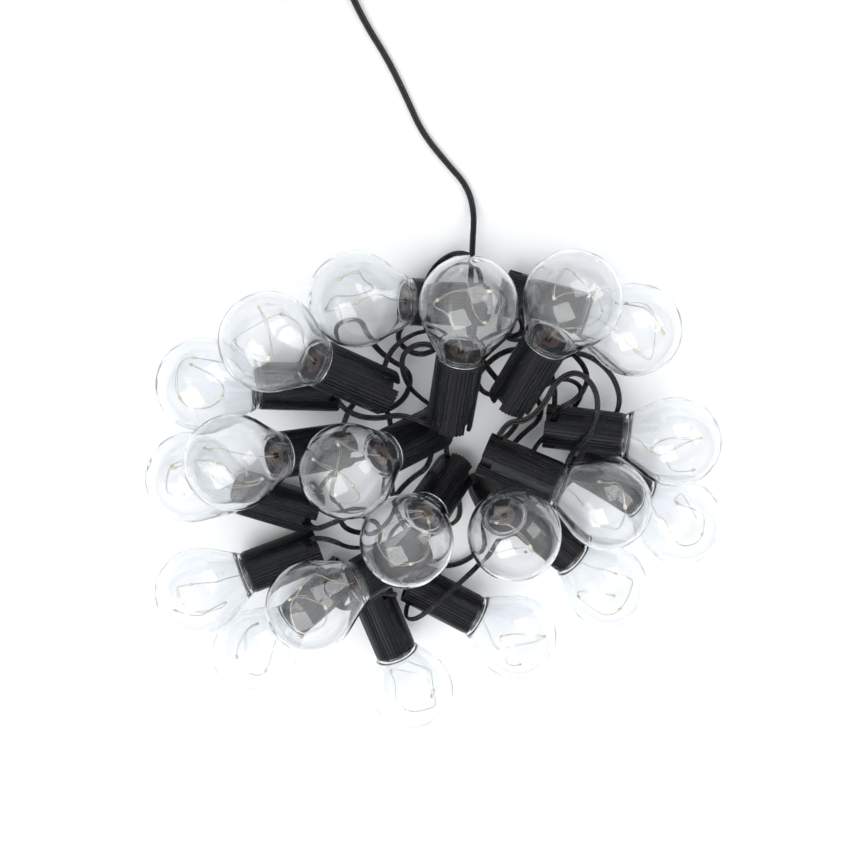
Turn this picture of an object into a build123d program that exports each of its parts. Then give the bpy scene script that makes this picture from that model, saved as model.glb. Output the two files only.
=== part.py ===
"""Solar string lights, laid down in a pile as they come out of the box.

Twenty clear globe lamps hang on a flat two-core cord. The lead of the first lamp runs to a small
solar unit: a panel box with its battery, standing on a tilting bracket.
Millimetres, +Z up, the floor at Z = 0, the origin under the middle of the lamps and the solar unit.
"""

import os
from math import cos, pi, radians, sin, tan

from build123d import *

# ---------------------------------------------------------------- driving dimensions

PILE_X, PILE_Y = -5, -60.5  # where the pile's own centre stands

GLOBE_RADIUS = 25
GLOBE_WALL = 1.2
TAPER_START = 12.2  # along the lamp's axis, from the globe's centre: the ball turns into a cone
NECK_START = 29.2
NECK_RADIUS = 12.2
MOUTH = 30  # where the neck meets the lampholder
COLLAR_START = 26.2  # inside, the neck is thick enough from here to grip the spigot
COLLAR_STEP_RADIUS = 12.5
NECK_INNER_RADIUS = 10.5

HOLDER_RADIUS = 12.5
HOLDER_ROOT_RADIUS = 11.9  # between the grip ribs
HOLDER_BACK = 73
HOLDER_BORE_RADIUS = 10.4
SPIGOT_RADIUS = 10.3
SPIGOT_START = 26.6
WIRE_HOLE_RADIUS = 1.5
FLOOR_OF_BORE = 40
COLLAR_LENGTH = 1.6
RIBS_PER_GROUP = 6
RIB_GROUPS = 4
RIB_PITCH_ANGLE = 9.5
RIB_WIDTH = 1.0
CORD_SLOT_WIDTH = 5
CORD_SLOT_DEPTH = 7

CORD_DIAMETER = 2.5
CORD_EXIT = 69  # along the lamp's axis
GROMMET_SIDE = 15
GROMMET_LENGTH = 6
STRAIGHT_OUT = 14  # the cord's first run, square to the lampholder

END_SLEEVE_SIDE = 135  # round the last lampholder
END_SLEEVE_DIAMETER = 3
END_SLEEVE_LENGTH = 14

LED_WIRE_DIAMETER = 1.0
LED_DROP_RADIUS = 1.4
LED_WIRE_POINTS = [  # in the lamp's own plane
    (0, 0, 30),
    (0, 0, 25),
    (1, 0, 17),
    (6, 3, 8),
    (7, -6, -2),
    (-3, -9, -8),
    (-9, 1, -2),
    (-3, 9, 6),
    (4, 7, 0),
    (2, 0, -9),
]
LED_PLACES = (0.42, 0.6, 0.8, 1.0)  # along the wire
LED_ROLL = 77  # degrees from one lamp's LED wire to the next

# The solar unit: its hinge, then its box. Depths run from the panel's front face to the back.
PIVOT = Vector(20 + PILE_X, 293 + PILE_Y, 40)
PANEL_TILT = 35
PIVOT_DEPTH = 32
FIT = 0.3
BOX_LENGTH = 96
BOX_WIDTH = 70
BOX_CORNER = 6
BOX_WALL = 2.4
FRAME_BOTTOM = 7
CASE_TOP = 7.8
CASE_FLOOR = 19.8
CASE_BACK = 22
GASKET_INSET = 0.4

# The solar panel and the window behind it.
PANEL_LENGTH = 85.4
PANEL_WIDTH = 59.4
PANEL_CORNER = 1.2
PANEL_TOP = 0.2
PANEL_BOTTOM = 2
WINDOW_LENGTH = 78
WINDOW_WIDTH = 52
WINDOW_CORNER = 2

# The case's screws, and the battery door with its bay.
SCREW_RADIUS = 1.3
SCREW_HEAD_RADIUS = 2.8
SCREW_HEAD = 2
SCREW_SEAT = 19
SCREW_TIP = 3
CASE_BOSS_RADIUS = 4.4
CASE_SCREW_PLACES = [(-41.5, -28.5), (41.5, -28.5), (-41.5, 28.5), (41.5, 28.5)]
DOOR_LENGTH = 73.4
DOOR_WIDTH = 20.4
DOOR_CORNER = 1.7
DOOR_RIB_PITCH = 4
DOOR_RIB_WIDTH = 1.2
DOOR_RIB_HEIGHT = 0.5
DOOR_SEAT = 20.9
DOOR_BOSS_RADIUS = 3
DOOR_SCREW_TIP = 15
BATTERY_X = 2.5
BATTERY_Y = 19.5
BATTERY_DEPTH = 12.2
BATTERY_RADIUS = 7.1
BATTERY_LENGTH = 49
BATTERY_BUTTON = 1
BATTERY_BUTTON_RADIUS = 2.7
BATTERY_ROUNDING = 0.6
BAY_LENGTH = 56
BAY_WIDTH = 15.6
BAY_CORNER = 1
DOOR_SCREW_PLACES = [(-33.6, BATTERY_Y), (33.6, BATTERY_Y)]
CONTACT_PLACE = 28
CONTACT_THICKNESS = 0.5
CONTACT_SIDE = 12
SPRING_RADIUS = 3.6
SPRING_WIRE_RADIUS = 0.4
SPRING_TURNS = 3
RIB_THICKNESS = 2

# The circuit board, and the buttons that press its switches.
BOARD_LENGTH = 56
BOARD_WIDTH = 26
BOARD_CORNER = 1
BOARD_Y = -17
BOARD_TOP = 12
BOARD_BOTTOM = 13.6
STANDOFF_RADIUS = 2.5
STANDOFF_PLACES = [(-24, -27), (24, -27), (-24, -7), (24, -7)]
CHIP_LENGTH = 8
CHIP_WIDTH = 6
CHIP_HEIGHT = 1.6
CHIP_CORNER = 0.3
CAPACITOR_PLACES = [(-16, BOARD_Y), (16, BOARD_Y + 4)]
CAPACITOR_RADIUS = 2.6
CAPACITOR_HEIGHT = 5
INDUCTOR_PLACE = (18, BOARD_Y - 7)
INDUCTOR_RADIUS = 3.2
INDUCTOR_HEIGHT = 4
SWITCH_SIDE = 6
SWITCH_CORNER = 0.5
SWITCH_BOTTOM = 15.6
BUTTON_PLACES = [(-13, -21), (13, -21)]
BUTTON_RADIUS = 4.5
BUTTON_ROUNDING = 1
BUTTON_FLANGE = 1.2
BUTTON_FLANGE_RADIUS = 5.8
BUTTON_STEM_RADIUS = 2
BUTTON_GAP = 0.3
BUTTON_TRAVEL = 1
BUTTON_PROUD = 1.4

# The cable gland in the case's lower edge.
GLAND_X = -32
GLAND_DEPTH = 14
GLAND_RADIUS = 3.2
GLAND_INNER_LIP = 1.2
GLAND_OUTER_LIP = 2
GLAND_FLANGE = 2
GLAND_BOOT = 7
GLAND_TAPER = 8

# The stand: the case's lug between the bracket's ears, its foot, its bolt.
LUG_WIDTH = 12
LUG_RADIUS = 8
EAR_THICKNESS = 4
FOOT_LENGTH = 56
FOOT_WIDTH = 50
FOOT_CORNER = 6
FOOT_THICKNESS = 3
FOOT_HOLE_SPACING = 40
FOOT_HOLE_RADIUS = 2.2
BOLT_RADIUS = 2.5
BOLT_GAP = 0.4
BOLT_HEAD = 3.5
BOLT_HEAD_RADIUS = 4.6
NUT_LENGTH = 7
NUT_RADIUS = 5
NUT_LOBE_RADIUS = 1.8

# The lead's coil and its tie.
COIL_CENTRE = Vector(-73 + PILE_X, 251 + PILE_Y, 0)
COIL_MEAN_RADIUS = 17.5
COIL_WIDTH = 8
COIL_HEIGHT = 13.5
COIL_ROUNDING = 2.5
TIE_GAP = 0.2
TIE_THICKNESS = 0.6
TIE_WIDTH = 4

# Each lamp: X, Y, Z of the globe's centre from the pile's centre, the heading and the pitch in
# degrees of the line from the globe to the lampholder's back, and how far the notches are turned.
LAMPS = {
    1: (14, 84, 60, -96, -14, 45),
    2: (-41, 80, 30, -8, -13, 0),
    3: (-85, 69, 61, -33, -18, 45),
    4: (-123, 34, 25, -8, -10, 0),
    5: (-49, 0, 68, 0, -45, 0),
    6: (-107, 6, 64, -12, -36, 0),
    7: (-134, -20, 25, -27, -10, 0),
    8: (-136, -93, 25, 15, -10, 45),
    9: (-107, -137, 25, 38, -10, 45),
    10: (-71, -82, 65, 16, -24, 45),
    11: (-19, -41, 71, 15, -62, 0),
    12: (38, -38, 75, -113, -84, 0),
    13: (66, 86, 61, -112, -20, 45),
    14: (107, 60, 34, 166, -16, 0),
    15: (134, -5, 38, 176, -15, 45),
    16: (146, -63, 25, 148, -10, 0),
    17: (92, -33, 56, 160, -18, 0),
    18: (104, -104, 25, 138, -10, 0),
    19: (50, -137, 25, 151, -10, 45),
    20: (-13, -172, 25, 110, -10, 45),
}

# The cord from each lamp to the next: the side it leaves by, its points, the side it enters by.
# A side is an angle round the lampholder. Points are X, Y, Z from the pile's centre.
STRING_CORDS = {
    1: (225, [
        (-16, 31, 21), (-17, 45, 15), (-4, 52, 18), (8, 44, 19), (7, 30, 13), (19, 24, 6),
        (28, 36, 8),
    ], 180),
    2: (0, [
        (16, 100, 10), (3, 91, 4), (-4, 76, 3), (-12, 62, 4), (-20, 48, 4), (-6, 38, 6),
        (8, 48, 11), (4, 58, 20), (-10, 60, 25),
    ], 315),
    3: (225, [
        (-30, 10, 18), (-14, 16, 12), (-10, 30, 6), (-24, 38, 5), (-34, 50, 6), (-38, 63, 8),
        (-53, 61, 11),
    ], 0),
    4: (90, [
        (-44, 20, 42), (-32, 15, 36), (-18, 17, 35), (-2, 11, 40), (12, 4, 34), (22, 12, 26),
        (16, 26, 21),
    ], 0),
    5: (180, [
        (-13, -33, 14), (-22, -46, 10), (-25, -61, 8), (-38, -71, 8), (-52, -65, 10),
        (-54, -50, 16), (-60, -42, 20),
    ], 180),
    6: (0, [
        (-36, 24, 17), (-25, 12, 12), (-22, -5, 11), (-32, -18, 11), (-46, -20, 11),
    ], 0),
    7: (90, [
        (-58, -45, 40), (-44, -40, 38), (-32, -50, 32), (-33, -66, 30), (-48, -67, 31),
        (-60, -58, 34),
    ], 45),
    8: (135, [
        (-60, -98, 38), (-46, -104, 40), (-34, -96, 36), (-36, -83, 34), (-48, -75, 36),
    ], 45),
    9: (135, [
        (-29, -98, 29), (-20, -90, 18), (-10, -80, 10), (3, -72, 11), (-1, -60, 12),
        (-14, -55, 15), (-27, -66, 16), (-26, -83, 17),
    ], 225),
    10: (315, [
        (-24, -36, 22), (-22, -22, 12), (-12, -16, 6), (-9, -3, 4), (2, 12, 5), (17, 3, 7),
    ], 0),
    11: (180, [
        (16, -66, 8), (2, -72, 4), (-9, -84, 4), (-1, -97, 3), (16, -98, 4), (30, -88, 5),
        (30, -76, 8),
    ], 90),
    12: (270, [
        (52, -14, 3), (66, -2, 3), (62, 12, 4), (48, 16, 5), (32, 14, 8), (24, 26, 11),
        (33, 38, 12), (44, 43, 10), (56, 41, 7), (66.5, 31, 11.5),
    ], 315),
    13: (225, [
        (24, 48, 21), (34, 56, 26), (46, 58, 33), (45, 70, 42),
    ], 90),
    14: (0, [
        (46, 46, 8), (60, 50, 8), (74, 46, 16), (86, 34, 28), (78, 24, 40),
    ], 135),
    15: (225, [
        (68, 28, 3), (80, 38, 3), (94, 34, 4), (106, 22, 6), (110, 6, 10),
    ], 180),
    16: (0, [
        (66, -44, 10), (58, -34, 6), (60, -20, 6), (72, -8, 5), (84, 4, 5), (88, 17, 7),
        (77, 25, 10), (63, 20, 9), (54, 7, 7), (48, -7, 9),
    ], 270),
    17: (180, [
        (50, 11, 38), (59, 22, 40), (64, 36, 42), (75, 42, 44), (85, 32, 46), (87, 17, 46),
        (84, 4, 43), (77, -7, 37.5), (75, -20, 29.5), (76, -32, 21),
    ], 180),
    18: (0, [
        (30, -84, 22), (16, -90, 34), (2, -100, 38), (-12, -112, 40),
    ], 45),
    19: (135, [
        (-15, -86, 35), (-30, -85, 30), (-43, -90, 27), (-54, -99, 35),
    ], 45),
}

# The lead leaves the first lamp, runs away over the floor into its coil, and from there its tail
# goes up to the solar unit's gland. Both end a little way inside the coil.
LEAD_SIDE = 315
LEAD_POINTS = [
    (24, 34, 26), (20, 48, 30), (18, 62, 30), (18, 78, 32), (20, 92, 24), (22, 104, 12),
    (24, 118, 3), (20, 132, 2), (9, 144, 2), (-4, 160, 2), (-12, 178, 2), (-21, 196, 2), (-32, 213, 2),
    (-41, 232, 3), (-53, 252, 4),
]
TAIL_POINTS = [(-64, 233.5, 10.5), (-50, 234, 11), (-36, 231, 13), (-23, 231, 16)]

# ---------------------------------------------------------------- places


def pile_point(x, y, z):
    """A point given from the pile's centre, in the part's own frame."""
    return Vector(x + PILE_X, y + PILE_Y, z)


def lamp_plane(number):
    """The lamp's own plane: origin at the globe's centre, +Z towards the lampholder's back."""
    x, y, z, heading, pitch, _ = LAMPS[number]
    heading, pitch = radians(heading), radians(pitch)
    axis = Vector(cos(heading) * cos(pitch), sin(heading) * cos(pitch), sin(pitch))
    side = Vector(-sin(heading), cos(heading), 0)
    return Plane(origin=pile_point(x, y, z), x_dir=side, z_dir=axis)


def lamp_place(number, roll=0):
    """Where a lamp's shape goes: its plane, turned so that the notches face its cords."""
    return lamp_plane(number).location * Rotation(0, 0, LAMPS[number][-1] + roll)


def exit_points(number, side):
    """The cord's first two points at a lampholder: on its grommet, and straight out of it."""
    plane = lamp_plane(number)
    outward = plane.x_dir * cos(radians(side)) + plane.y_dir * sin(radians(side))
    middle = plane.origin + plane.z_dir * CORD_EXIT
    start = middle + outward * (GROMMET_SIDE / 2)
    return start, start + outward * STRAIGHT_OUT


def string_route(number):
    """Every point of one string cord, from the grommet of its lamp to the grommet of the next."""
    first_side, points, last_side = STRING_CORDS[number]
    start, out = exit_points(number, first_side)
    finish, before = exit_points(number + 1, last_side)
    return [start, out] + [pile_point(*point) for point in points] + [before, finish]


def lead_route():
    """Every point of the lead, from the first lamp into the coil."""
    start, out = exit_points(1, LEAD_SIDE)
    return [start, out] + [pile_point(*point) for point in LEAD_POINTS]


def tail_route():
    """Every point of the lead's tail, from the coil to the solar unit's gland."""
    gland_tip = unit_point(GLAND_X, -BOX_WIDTH / 2 - GLAND_FLANGE - GLAND_BOOT, GLAND_DEPTH)
    below_gland = gland_tip - unit_plane().y_dir * STRAIGHT_OUT
    return [pile_point(*point) for point in TAIL_POINTS] + [below_gland, gland_tip]


# ---------------------------------------------------------------- cords


def bend_radii(points):
    """The bend at each inner point: as round as the shorter of its two runs allows."""
    radii = []
    for before, corner, after in zip(points, points[1:], points[2:]):
        run_in = corner - before
        run_out = after - corner
        turn = radians(run_in.get_angle(run_out))
        radii.append(0.45 * min(run_in.length, run_out.length) / tan(turn / 2))
    return radii


def cord(label, points):
    """A cord: one tube along its route. Prints its length and its bends."""
    radii = bend_radii(points)
    with BuildPart() as tube:
        with BuildLine() as path:
            FilletPolyline(*points, radius=radii)
        with BuildSketch(Plane(origin=points[0], z_dir=points[1] - points[0])):
            Circle(CORD_DIAMETER / 2)
        sweep()
    length = path.wires()[0].length
    expected = length * pi * (CORD_DIAMETER / 2) ** 2
    rounded = [round(radius, 1) for radius in radii]
    print(f"{label}: length {length:.0f}, volume ratio {tube.part.volume / expected:.3f}, bends {rounded}")
    save(label, tube)


def save(label, builder):
    """Name one sub-part and write its file."""
    builder.part.label = label
    export_step(builder.part, f"parts/{label}.step")


# ---------------------------------------------------------------- lamps


def lampholder_shape():
    """The black lampholder in the lamp's own plane: spigot, ribbed barrel, notched back rim."""
    groove_start = MOUTH + COLLAR_LENGTH
    group_angle = 360 / RIB_GROUPS
    with BuildPart() as holder:
        with BuildSketch(Plane.XY.offset(SPIGOT_START)):
            Circle(SPIGOT_RADIUS)
        extrude(amount=MOUTH - SPIGOT_START)
        with BuildSketch(Plane.XY.offset(MOUTH)):
            Circle(HOLDER_RADIUS)
        extrude(amount=HOLDER_BACK - MOUTH)
        with BuildSketch(Plane.XY.offset(groove_start)):
            for group in range(RIB_GROUPS):
                middle = group * group_angle + group_angle / 2
                spread = RIB_PITCH_ANGLE * RIBS_PER_GROUP
                with PolarLocations(
                    HOLDER_RADIUS, RIBS_PER_GROUP + 1, middle - spread / 2, spread, endpoint=True
                ):
                    Rectangle(2 * (HOLDER_RADIUS - HOLDER_ROOT_RADIUS), RIB_WIDTH)
        extrude(amount=HOLDER_BACK - groove_start, mode=Mode.SUBTRACT)
        with BuildSketch(Plane.XY.offset(FLOOR_OF_BORE)):
            Circle(HOLDER_BORE_RADIUS)
        extrude(amount=HOLDER_BACK - FLOOR_OF_BORE, mode=Mode.SUBTRACT)
        with BuildSketch(Plane.XY.offset(SPIGOT_START)):
            Circle(WIRE_HOLE_RADIUS)
        extrude(amount=FLOOR_OF_BORE - SPIGOT_START, mode=Mode.SUBTRACT)
        with BuildSketch(Plane.XY.offset(HOLDER_BACK - CORD_SLOT_DEPTH)):
            Rectangle(4 * HOLDER_RADIUS, CORD_SLOT_WIDTH)
            Rectangle(CORD_SLOT_WIDTH, 4 * HOLDER_RADIUS)
        extrude(amount=CORD_SLOT_DEPTH, mode=Mode.SUBTRACT)
    return holder.part


def globe_shape():
    """The clear globe in the lamp's own plane: a thin ball, a cone and an open neck."""
    inner_radius = GLOBE_RADIUS - GLOBE_WALL
    outer_taper = (GLOBE_RADIUS**2 - TAPER_START**2) ** 0.5
    inner_start = TAPER_START - GLOBE_WALL / 2
    inner_taper = (inner_radius**2 - inner_start**2) ** 0.5
    with BuildPart() as globe:
        with BuildSketch(Plane.XZ):
            with BuildLine():
                ThreePointArc((0, -GLOBE_RADIUS), (GLOBE_RADIUS, 0), (outer_taper, TAPER_START))
                Polyline(
                    (outer_taper, TAPER_START),
                    (NECK_RADIUS, NECK_START),
                    (NECK_RADIUS, MOUTH),
                    (NECK_INNER_RADIUS, MOUTH),
                    (NECK_INNER_RADIUS, COLLAR_START),
                    (COLLAR_STEP_RADIUS, COLLAR_START),
                    (inner_taper, inner_start),
                )
                ThreePointArc((inner_taper, inner_start), (inner_radius, 0), (0, -inner_radius))
                Line((0, -inner_radius), (0, -GLOBE_RADIUS))
            make_face()
        revolve()
    return globe.part


def led_string_shape():
    """The fine LED wire in the lamp's own plane, in loose loops, with its LED drops."""
    with BuildPart() as wire:
        with BuildLine():
            loops = Spline(*LED_WIRE_POINTS)
        with BuildSketch(Plane(origin=loops @ 0, z_dir=loops % 0)):
            Circle(LED_WIRE_DIAMETER / 2)
        sweep()
        with Locations(*[loops @ place for place in LED_PLACES]):
            Sphere(LED_DROP_RADIUS)
    return wire.part


def grommet_shape():
    """The rubber grommet in the lamp's own plane: a plug with four flats in the back of the bore."""
    with BuildPart() as grommet:
        with BuildSketch(Plane.XY.offset(CORD_EXIT - GROMMET_LENGTH / 2)):
            Circle(HOLDER_BORE_RADIUS)
            Rectangle(GROMMET_SIDE, GROMMET_SIDE, mode=Mode.INTERSECT)
        extrude(amount=GROMMET_LENGTH)
    return grommet.part


def make_lampholders():
    shape = lampholder_shape()
    for number in LAMPS:
        with BuildPart() as lampholder:
            with Locations(lamp_place(number)):
                add(shape)
        save(f"lampholder_{number:02d}", lampholder)


def make_globes():
    shape = globe_shape()
    with BuildPart() as globes:
        with Locations(*[lamp_place(number) for number in LAMPS]):
            add(shape)
    save("globes", globes)


def make_led_strings():
    shape = led_string_shape()
    with BuildPart() as led_strings:
        for number in LAMPS:
            with Locations(lamp_place(number, LED_ROLL * number)):
                add(shape)
    save("led_strings", led_strings)


def make_cord_grommets():
    """One grommet in each lampholder, and the sleeve that seals the cord's end past the last."""
    shape = grommet_shape()
    start, out = exit_points(len(LAMPS), END_SLEEVE_SIDE)
    with BuildPart() as grommets:
        with Locations(*[lamp_place(number) for number in LAMPS]):
            add(shape)
        with BuildSketch(Plane(origin=start, z_dir=out - start)):
            Circle(END_SLEEVE_DIAMETER / 2)
        extrude(amount=END_SLEEVE_LENGTH)
    save("cord_grommets", grommets)


# ---------------------------------------------------------------- lead coil


def make_lead_coil():
    """The spare lead in one neat coil: the outer shape of its turns."""
    with BuildPart() as coil:
        with BuildSketch(Plane(origin=COIL_CENTRE)):
            Circle(COIL_MEAN_RADIUS + COIL_WIDTH / 2)
            Circle(COIL_MEAN_RADIUS - COIL_WIDTH / 2, mode=Mode.SUBTRACT)
        extrude(amount=COIL_HEIGHT)
        fillet(coil.edges(), COIL_ROUNDING)
    save("lead_coil", coil)


def make_coil_tie():
    """A twist tie: a flat band closed round the coil's section at one place."""
    middle = COIL_CENTRE + Vector(0, COIL_MEAN_RADIUS, COIL_HEIGHT / 2)
    inner_width = COIL_WIDTH + 2 * TIE_GAP
    inner_height = COIL_HEIGHT + 2 * TIE_GAP
    with BuildPart() as tie:
        with BuildSketch(Plane(origin=middle, x_dir=(0, 1, 0), z_dir=(1, 0, 0))):
            RectangleRounded(
                inner_width + 2 * TIE_THICKNESS, inner_height + 2 * TIE_THICKNESS, COIL_ROUNDING
            )
            RectangleRounded(inner_width, inner_height, COIL_ROUNDING, mode=Mode.SUBTRACT)
        extrude(amount=TIE_WIDTH / 2, both=True)
    save("coil_tie", tie)


# ---------------------------------------------------------------- solar unit


def unit_plane(depth=0):
    """The plane of the panel's front face, or one that much deeper: X across, Y up the slope."""
    tilt = radians(PANEL_TILT)
    normal = Vector(0, -sin(tilt), cos(tilt))
    return Plane(origin=PIVOT + normal * (PIVOT_DEPTH - depth), x_dir=(1, 0, 0), z_dir=normal)


def unit_point(x, y, depth):
    """A point of the solar unit in the part's own frame."""
    return unit_plane(depth).from_local_coords(Vector(x, y, 0))


def cross_plane(x, y, depth):
    """A plane through a point of the solar unit, square to its length: X up the slope."""
    return Plane(origin=unit_point(x, y, depth), x_dir=unit_plane().y_dir, z_dir=(1, 0, 0))


def slab(length, width, corner, top, bottom, middle=(0, 0), mode=Mode.ADD):
    """Inside a BuildPart: a rounded slab of the solar unit between two depths."""
    with BuildSketch(unit_plane(bottom)) as outline:
        with Locations(middle):
            RectangleRounded(length, width, corner)
    extrude(outline.sketch, amount=bottom - top, mode=mode)


def posts(places, radius, top, bottom, mode=Mode.ADD):
    """Inside a BuildPart: round posts or holes of the solar unit between two depths."""
    with BuildSketch(unit_plane(bottom)) as outlines:
        with Locations(*places):
            Circle(radius)
    extrude(outlines.sketch, amount=bottom - top, mode=mode)


def make_panel_frame():
    with BuildPart() as frame:
        slab(BOX_LENGTH, BOX_WIDTH, BOX_CORNER, 0, FRAME_BOTTOM)
        slab(
            PANEL_LENGTH + 2 * FIT,
            PANEL_WIDTH + 2 * FIT,
            PANEL_CORNER + FIT,
            0,
            PANEL_BOTTOM,
            mode=Mode.SUBTRACT,
        )
        slab(WINDOW_LENGTH, WINDOW_WIDTH, WINDOW_CORNER, PANEL_BOTTOM, FRAME_BOTTOM, mode=Mode.SUBTRACT)
        posts(CASE_SCREW_PLACES, SCREW_RADIUS, SCREW_TIP, FRAME_BOTTOM, mode=Mode.SUBTRACT)
    save("panel_frame", frame)


def make_solar_panel():
    with BuildPart() as panel:
        slab(PANEL_LENGTH, PANEL_WIDTH, PANEL_CORNER, PANEL_TOP, PANEL_BOTTOM)
    save("solar_panel", panel)


def make_case_gasket():
    ring = BOX_WALL - 2 * GASKET_INSET
    with BuildPart() as gasket:
        slab(
            BOX_LENGTH - 2 * GASKET_INSET,
            BOX_WIDTH - 2 * GASKET_INSET,
            BOX_CORNER - GASKET_INSET,
            FRAME_BOTTOM,
            CASE_TOP,
        )
        slab(
            BOX_LENGTH - 2 * (GASKET_INSET + ring),
            BOX_WIDTH - 2 * (GASKET_INSET + ring),
            BOX_CORNER - GASKET_INSET - ring,
            FRAME_BOTTOM,
            CASE_TOP,
            mode=Mode.SUBTRACT,
        )
    save("case_gasket", gasket)


def make_rear_case():
    """The tub behind the panel, with its screw bosses, its battery bay and its hinge lug."""
    inner_length = BOX_LENGTH - 2 * BOX_WALL
    inner_width = BOX_WIDTH - 2 * BOX_WALL
    with BuildPart() as case:
        slab(BOX_LENGTH, BOX_WIDTH, BOX_CORNER, CASE_TOP, CASE_BACK)
        slab(
            inner_length,
            inner_width,
            BOX_CORNER - BOX_WALL,
            CASE_TOP,
            CASE_FLOOR,
            mode=Mode.SUBTRACT,
        )
        posts(CASE_SCREW_PLACES, CASE_BOSS_RADIUS, FRAME_BOTTOM, CASE_FLOOR)
        posts(DOOR_SCREW_PLACES, DOOR_BOSS_RADIUS, DOOR_SCREW_TIP, CASE_FLOOR)
        posts(STANDOFF_PLACES, STANDOFF_RADIUS, BOARD_BOTTOM, CASE_FLOOR)
        for side in (-1, 1):
            middle = (side * (CONTACT_PLACE + CONTACT_THICKNESS + RIB_THICKNESS / 2), BATTERY_Y)
            with BuildSketch(unit_plane(CASE_FLOOR)):
                with Locations(middle):
                    Rectangle(RIB_THICKNESS, CONTACT_SIDE)
            extrude(amount=CASE_FLOOR - BATTERY_DEPTH)
        with BuildSketch(cross_plane(-LUG_WIDTH / 2, 0, PIVOT_DEPTH)):
            Circle(LUG_RADIUS)
            with Locations((0, (PIVOT_DEPTH - CASE_BACK) / 2)):
                Rectangle(2 * LUG_RADIUS, PIVOT_DEPTH - CASE_BACK)
        extrude(amount=LUG_WIDTH)
        with BuildSketch(Plane(origin=PIVOT - Vector(LUG_WIDTH, 0, 0), z_dir=(1, 0, 0))):
            Circle(BOLT_RADIUS + BOLT_GAP)
        extrude(amount=2 * LUG_WIDTH, mode=Mode.SUBTRACT)
        posts(CASE_SCREW_PLACES, SCREW_RADIUS + FIT, FRAME_BOTTOM, CASE_BACK, mode=Mode.SUBTRACT)
        posts(CASE_SCREW_PLACES, SCREW_HEAD_RADIUS + FIT, SCREW_SEAT, CASE_BACK, mode=Mode.SUBTRACT)
        posts(DOOR_SCREW_PLACES, SCREW_RADIUS, DOOR_SCREW_TIP, CASE_BACK, mode=Mode.SUBTRACT)
        posts(BUTTON_PLACES, BUTTON_RADIUS + FIT, CASE_FLOOR, CASE_BACK, mode=Mode.SUBTRACT)
        slab(
            DOOR_LENGTH + 2 * FIT,
            DOOR_WIDTH + 2 * FIT,
            DOOR_CORNER + FIT,
            DOOR_SEAT,
            CASE_BACK,
            (0, BATTERY_Y),
            Mode.SUBTRACT,
        )
        slab(
            BAY_LENGTH, BAY_WIDTH, BAY_CORNER, CASE_FLOOR, CASE_BACK, (0, BATTERY_Y), Mode.SUBTRACT
        )
        gland_hole = unit_point(GLAND_X, -inner_width / 2, GLAND_DEPTH)
        with BuildSketch(Plane(origin=gland_hole, z_dir=-unit_plane().y_dir)):
            Circle(GLAND_RADIUS)
        extrude(amount=BOX_WALL, mode=Mode.SUBTRACT)
    save("rear_case", case)


def make_circuit_board():
    """The board with the parts a hand would see: two switches below, four parts above."""
    with BuildPart() as board:
        slab(BOARD_LENGTH, BOARD_WIDTH, BOARD_CORNER, BOARD_TOP, BOARD_BOTTOM, (0, BOARD_Y))
        for place in BUTTON_PLACES:
            slab(SWITCH_SIDE, SWITCH_SIDE, SWITCH_CORNER, BOARD_BOTTOM, SWITCH_BOTTOM, place)
        slab(CHIP_LENGTH, CHIP_WIDTH, CHIP_CORNER, BOARD_TOP - CHIP_HEIGHT, BOARD_TOP, (0, BOARD_Y))
        posts(CAPACITOR_PLACES, CAPACITOR_RADIUS, BOARD_TOP - CAPACITOR_HEIGHT, BOARD_TOP)
        posts([INDUCTOR_PLACE], INDUCTOR_RADIUS, BOARD_TOP - INDUCTOR_HEIGHT, BOARD_TOP)
    save("circuit_board", board)


def make_battery_cell():
    """One AA-size cell on its side, its button end to the right."""
    with BuildPart() as cell:
        with BuildSketch(cross_plane(BATTERY_X - BATTERY_LENGTH / 2, BATTERY_Y, BATTERY_DEPTH)):
            Circle(BATTERY_RADIUS)
        extrude(amount=BATTERY_LENGTH)
        fillet(cell.edges().filter_by(GeomType.CIRCLE), BATTERY_ROUNDING)
        with BuildSketch(cross_plane(BATTERY_X + BATTERY_LENGTH / 2, BATTERY_Y, BATTERY_DEPTH)):
            Circle(BATTERY_BUTTON_RADIUS)
        extrude(amount=BATTERY_BUTTON)
    save("battery_cell", cell)


def make_battery_contacts():
    """A flat contact at the button end and a wire spring on a plate at the other."""
    spring_start = BATTERY_X - BATTERY_LENGTH / 2
    spring_length = CONTACT_PLACE + spring_start
    with BuildPart() as contacts:
        for face in (CONTACT_PLACE, -CONTACT_PLACE - CONTACT_THICKNESS):
            with BuildSketch(cross_plane(face, BATTERY_Y, BATTERY_DEPTH)):
                Rectangle(CONTACT_SIDE, CONTACT_SIDE)
            extrude(amount=CONTACT_THICKNESS)
        coil_start = unit_point(-CONTACT_PLACE + SPRING_WIRE_RADIUS, BATTERY_Y, BATTERY_DEPTH)
        coil_length = spring_length - 2 * SPRING_WIRE_RADIUS
        with BuildLine() as turns:
            Helix(
                coil_length / SPRING_TURNS, coil_length, SPRING_RADIUS, coil_start, direction=(1, 0, 0)
            )
        with BuildSketch(Plane(origin=turns.line @ 0, z_dir=turns.line % 0)):
            Circle(SPRING_WIRE_RADIUS)
        sweep()
    save("battery_contacts", contacts)


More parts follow.
